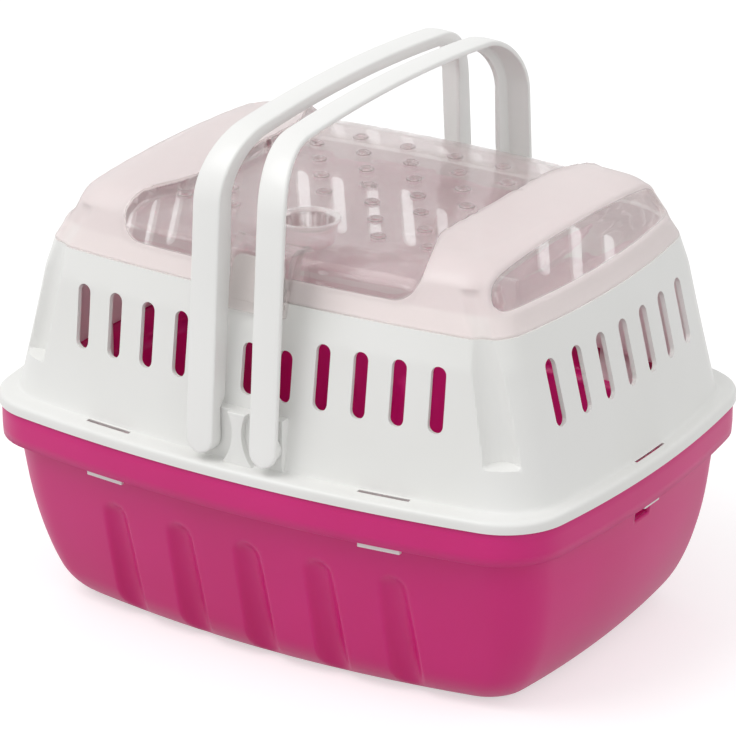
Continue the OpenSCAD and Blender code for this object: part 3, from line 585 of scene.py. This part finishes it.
def lathe(profile, cx, cy, n):
    """A closed profile of (radius, height) turned about an upright axis."""
    t = np.radians(np.arange(n) * 360 / n)
    profile = np.asarray(profile, float)
    r = profile[:, :1]
    return np.stack([cx + r * np.cos(t), cy + r * np.sin(t), profile[:, 1:] + 0 * t], -1)


collar_r = [3.7, 3.4, 2.9, 2.4, 2.0, 1.9, 1.9, 2.3, 3.0, 3.5, 3.7]
collar_z = [-0.3, 0.3, 0.7, 0.8, 0.6, 0.2, -1.4, -1.7, -1.7, -1.5, -0.3]
collar = np.stack([collar_r, collar_z], -1) + [0, PANEL_Z]
rings = [lathe(collar, cx, cy, 20).reshape(-1, 3) for cx, cy in zip(hole_x, hole_y)]
faces = np.concatenate([grid_faces(len(collar), 20) + k * len(rings[0]) for k in range(len(rings))])
points, faces = weld(np.concatenate(rings), faces)
piece("air_hole_collars", points, faces, "lid", clear)
cup_r = [0.05, 6, 9, 10.3, 10.8, 11, 11.4, 12.4, 13.2, 14, 14.2, 13.6, 12.9, 12.6, 12.4, 11.4, 9.4, 6, 0.05]
cup_floor, cup_under = [0, 0, 0.4, 1.6, 3.5], [2.6, -0.4, -1.5, -1.6, -1.6]
cup_rim = [-2, -0.6, 0.3, 0.5, 0.2, -0.6, -1.5, -2.2, -4]
cup_z = np.concatenate([np.array(cup_floor) - WELL_DEPTH, cup_rim, np.array(cup_under) - WELL_DEPTH])
points = lathe(np.stack([cup_r, cup_z], -1) + [0, PANEL_Z], 0, WELL_Y, 48)
cells = np.arange(points.shape[0] * 48).reshape(-1, 48)
faces = grid_faces(len(cup_r), 48).tolist() + [cells[0][::-1].tolist(), cells[-1].tolist()]
piece("finger_well", points, faces, "lid", clear)
TONGUE_HALF, TONGUE_R, TONGUE_SIDE = 16.5, 3.4, 13.0
t = np.linspace(0, 1, 13)
flank = mix(TONGUE_SIDE, TONGUE_R, t[:6] / t[5])
across = np.concatenate([
    np.stack([-TONGUE_HALF + 0 * flank, flank], -1), ring(TONGUE_R - TONGUE_HALF, TONGUE_R, TONGUE_R, 180, 270, 7)[1:],
    np.stack([mix(-12, 12, t), 0 * t], -1), ring(TONGUE_HALF - TONGUE_R, TONGUE_R, TONGUE_R, 270, 360, 7)[:-1],
    np.stack([TONGUE_HALF + 0 * flank, flank[::-1]], -1),
])
h = np.concatenate([[-6.5, -5, -2, 0, 3, 6, 9, 12, 15, 17.5], [19, 20, 20.4, 20.5, 20.5]])
back = np.concatenate([np.zeros(10), [0.5, 1.8, 3.6, 7, 13]])
y = -tongue_y(h)[:, None] + back[:, None] + across[None, :, 1] * (1 - back[:, None] / 14)
points = np.stack([across[None, :, 0] + 0 * y, y, h[:, None] + LID_Z + 0 * y], -1)
faces = grid_faces(*y.shape, closed=False)
piece("latch_tongue", points, faces, "lid", clear, bevel=0.3, wall=LID_WALL)
for label, sx in (("left", -1), ("right", 1)):
    knuckle = [ring(HINGE_Y, HINGE_Z, KNUCKLE_R, -187, 90, 26),
               [[HINGE_Y - 5.5, HINGE_Z + KNUCKLE_R], [HINGE_Y - 4.7, HINGE_Z + 0.6]]]
    x0, x1 = sx * HINGE_X - 7, sx * HINGE_X + 7
    prism("hinge_knuckle_" + label, np.concatenate(knuckle), x0, x1, 0, 0.3, "lid", clear)


# The two carrying handles: mirror-image arches of white polypropylene with an L section. Each leg ends in a boss that
# snaps over a pin on the shell's pivot pad, and the grips draw together over the lid.
LEG_X, GRIP_X, LEG_W, GRIP_W, HANDLE_T = 9.3, 5.5, 13.7, 12.5, 2.5
HANDLE_RISE, BEND_R, GRIP_SAG, GRIP_A, GRIP_WEB = 136.8, 31.5, 3.3, 5.0, 5.5
LEG_LEAN, FOOT_Y, PAD_GAP, N_BOSS = 8 / 104, HALF_D - 1.5, PAD_Y + 0.4, 40


def handle_path():
    """Stations of half a handle from the foot to the grip's middle: a leaning leg, a round bend and a shallow arch.
    Each is the distance out, the height above the pivot, the angle of travel, the web's depth and how far the
    section has moved over to the grip's place."""
    leg_a = 90 - np.degrees(np.arctan(LEG_LEAN))
    leg_rise = HANDLE_RISE - BEND_R * (np.cos(np.radians(GRIP_A)) - np.cos(np.radians(leg_a))) - GRIP_SAG
    zf = -np.sin(np.radians([74, 66, 57, 47, 36, 24, 12])) * LEG_W / 2
    zl = np.concatenate([zf, [0, 7, 13.5, 15, 16.5, 18, 22], np.linspace(28, leg_rise, 16)])
    off = np.interp(zl, [13.5, 18, 50, 80, 104], [0.3, -3.2, -5.8, -9, -10])
    yl = FOOT_Y - LEG_LEAN * zl
    leg = np.stack([yl, zl, leg_a + 0 * zl, yl - PAD_GAP - off, 0 * zl], -1)
    t = np.linspace(0, 1, 29)[1:]
    a = mix(leg_a, GRIP_A, t)
    yb = yl[-1] - BEND_R * (np.sin(np.radians(leg_a)) - np.sin(np.radians(a)))
    zb = leg_rise + BEND_R * (np.cos(np.radians(a)) - np.cos(np.radians(leg_a)))
    bend = np.stack([yb, zb, a, mix(leg[-1, 3], GRIP_WEB, t), smooth(t)], -1)
    yg = yb[-1] * (1 - t)
    zg = HANDLE_RISE - GRIP_SAG * (1 - t) ** 2
    grip = np.stack([yg, zg, GRIP_A * (1 - t), GRIP_WEB + 0 * t, 1 + 0 * t], -1)
    return np.concatenate([leg, bend, grip])


def handle_section(x0, w, d):
    """The L section at a station, as points across: x outwards and n into the arch, with its corners rounded and
    the outer face slightly crowned."""
    c, t = 1.1, HANDLE_T
    k = np.linspace(0, 1, 7)[1:-1]
    corner = np.radians(np.linspace(180, 270, 5))
    left = [(c + c * np.cos(a), c + c * np.sin(a)) for a in corner]
    pts = [[u, v] for u, v in left] + [[c + (w - 2 * c) * s, -0.35 * np.sin(np.pi * s)] for s in k]
    pts += [[w - u, v] for u, v in left[::-1]]
    pts += [[w, t - 0.5], [w - 0.15, t - 0.15], [w - 0.5, t], [t + 0.8, t], [t + 0.25, t + 0.25], [t, t + 0.8]]
    pts += [[t, d - 0.5], [t - 0.15, d - 0.15], [t - 0.5, d], [0.5, d], [0.15, d - 0.15], [0, d - 0.5]]
    return np.array([[x0 + u, v + 0 * w] for u, v in pts]).transpose(2, 0, 1)


half = handle_path()
path = np.concatenate([half * [-1, 1, 1, 1, 1], half[-2::-1]])
lead = np.concatenate([np.ones(len(half)), -np.ones(len(half) - 1)])
reach = np.sqrt(np.maximum((LEG_W / 2) ** 2 - np.minimum(path[:, 1], 0) ** 2, 0))
x0 = mix(LEG_X + LEG_W / 2 - reach, GRIP_X, path[:, 4])
section = handle_section(x0, mix(2 * reach, GRIP_W, path[:, 4]), path[:, 3])
angle = np.radians(path[:, 2])[:, None]
y = path[:, :1] + lead[:, None] * section[..., 1] * np.sin(angle)
z = path[:, 1:2] - section[..., 1] * np.cos(angle) + SEAM + PIVOT_Z
cells = np.arange(y.size).reshape(y.shape)
faces = grid_faces(*y.shape).tolist() + [cells[0][::-1].tolist(), cells[-1].tolist()]
handle_white = moulded("handle_polypropylene_satin", "#F0F0EE", "#ECECEA", 0.33, 0.8, 0.02)
for name, node, sx in (("handle_right", "right_handle", 1), ("handle_left", "left_handle", -1)):
    points = np.stack([sx * section[..., 0], y, z], -1)
    grip = piece(node + "_arch", points, [f[::sx] for f in faces], name, handle_white)
    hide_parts(node)
    for label, side in (("front", -1), ("back", 1)):
        boss = [[0.05, 6.6], [5.6, 6.6], [5.6, 0.4], [5.2, 0], [3.3, 0], [3.06, 0.3], [3.06, 5.6], [2.8, 6], [0.05, 6]]
        t = np.radians(np.arange(N_BOSS) * 360 / N_BOSS)
        r, depth = np.array(boss)[:, :1], PAD_GAP + np.array(boss)[:, 1:]
        boss_x, boss_z = sx * (LEG_X + LEG_W / 2) + r * np.cos(t), SEAM + PIVOT_Z + r * np.sin(t)
        turned = np.stack([boss_x, side * depth + 0 * t, boss_z], -1)
        cells = np.arange(r.size * N_BOSS).reshape(-1, N_BOSS)
        quads = grid_faces(*cells.shape).tolist() + [cells[0][::-1].tolist(), cells[-1].tolist()]
        name_boss, turned_faces = f"{node}_boss_{label}", [f[::-side] for f in quads]
        piece(name_boss, turned, turned_faces, name, handle_white)


# The room: a pale floor that keeps the object's shadow, two large soft lamps and an even white surround, so that
# colours show about as they are written. The camera stands where the photograph was taken from.
def lamp(name, place, aim, size, watts):
    """A square soft box at a place in metres, turned to a point."""
    light = bpy.data.lights.new(name, "AREA")
    light.shape, light.size, light.energy = "SQUARE", size, watts
    made = bpy.data.objects.new(name, light)
    made.location = place
    made.rotation_euler = (Vector(aim) - Vector(place)).to_track_quat("-Z", "Y").to_euler()
    bpy.context.scene.collection.objects.link(made)


lamp("key_soft_box", (-0.7, -1.2, 2.0), (0, 0, 0.1), size=1.4, watts=20)
lamp("fill_soft_box", (1.8, -0.5, 1.2), (0, 0, 0.12), size=1.2, watts=4)


def shown(tree):
    """1 for the rays that show the background, from the camera, through the lid or off a gloss, and 0 for the rest."""
    ray = shader(tree, "ShaderNodeLightPath").outputs
    seen = ray["Is Camera Ray"]
    for other in ("Is Transmission Ray", "Is Glossy Ray"):
        seen = shader(tree, "ShaderNodeMath", {"operation": "MAXIMUM"}, {0: seen, 1: ray[other]}).outputs[0]
    return seen


world = bpy.data.worlds.new("studio_surround")
world.use_nodes = True
bpy.context.scene.world = world
tree = world.node_tree
tree.nodes.clear()
level = shader(tree, "ShaderNodeMapRange", {"To Min": 0.72, "To Max": 1.0}, {"Value": shown(tree)})
sky = shader(tree, "ShaderNodeBackground", {"Color": (1, 1, 1, 1)}, {"Strength": level.outputs[0]})
shader(tree, "ShaderNodeOutputWorld", {}, {"Surface": sky.outputs[0]})

floor_mesh = bpy.data.meshes.new("floor")
floor_mesh.from_pydata([(-6, -6, 0), (6, -6, 0), (6, 6, 0), (-6, 6, 0)], [], [(0, 1, 2, 3)])
floor = bpy.data.objects.new("floor", floor_mesh)
bpy.context.scene.collection.objects.link(floor)
paper = bpy.data.materials.new("studio_paper")
paper.use_nodes = True
tree = paper.node_tree
tree.nodes.clear()
lift = shader(tree, "ShaderNodeMath", {"operation": "MULTIPLY", 1: 0.56}, {0: shown(tree)})
glow = shader(tree, "ShaderNodeEmission", {"Color": (1, 1, 1, 1)}, {"Strength": lift.outputs[0]})
matt = shader(tree, "ShaderNodeBsdfDiffuse", {"Color": (0.6, 0.6, 0.6, 1)})
both = shader(tree, "ShaderNodeAddShader", {}, {0: matt.outputs[0], 1: glow.outputs[0]})
shader(tree, "ShaderNodeOutputMaterial", {}, {"Surface": both.outputs[0]})
floor_mesh.materials.append(paper)

scene = bpy.context.scene
scene.view_settings.view_transform = "Standard"
AZIMUTH, ELEVATION = np.radians(32.113), np.radians(22.138)
DISTANCE, SHIFT_RIGHT, SHIFT_UP = 2.0195, 0.000177, 0.012595
SENSOR_MM, FOCAL_PIXELS, IMAGE_PIXELS = 36.0, 4499.7, 736
toward = Vector((np.sin(AZIMUTH) * np.cos(ELEVATION), -np.cos(AZIMUTH) * np.cos(ELEVATION), np.sin(ELEVATION)))
right = Vector((np.cos(AZIMUTH), np.sin(AZIMUTH), 0))
upward = toward.cross(right)
camera = bpy.data.objects.new("camera", bpy.data.cameras.new("camera"))
camera.data.sensor_width, camera.data.lens = SENSOR_MM, SENSOR_MM * FOCAL_PIXELS / IMAGE_PIXELS
camera.data.clip_start, camera.data.clip_end = 0.05, 60
turned = Matrix((right, upward, toward)).transposed().to_4x4()
turned.translation = toward * DISTANCE + right * SHIFT_RIGHT + upward * SHIFT_UP + Vector((0, 0, SEAM * 0.001))
camera.matrix_world = turned
scene.collection.objects.link(camera)
scene.camera = camera
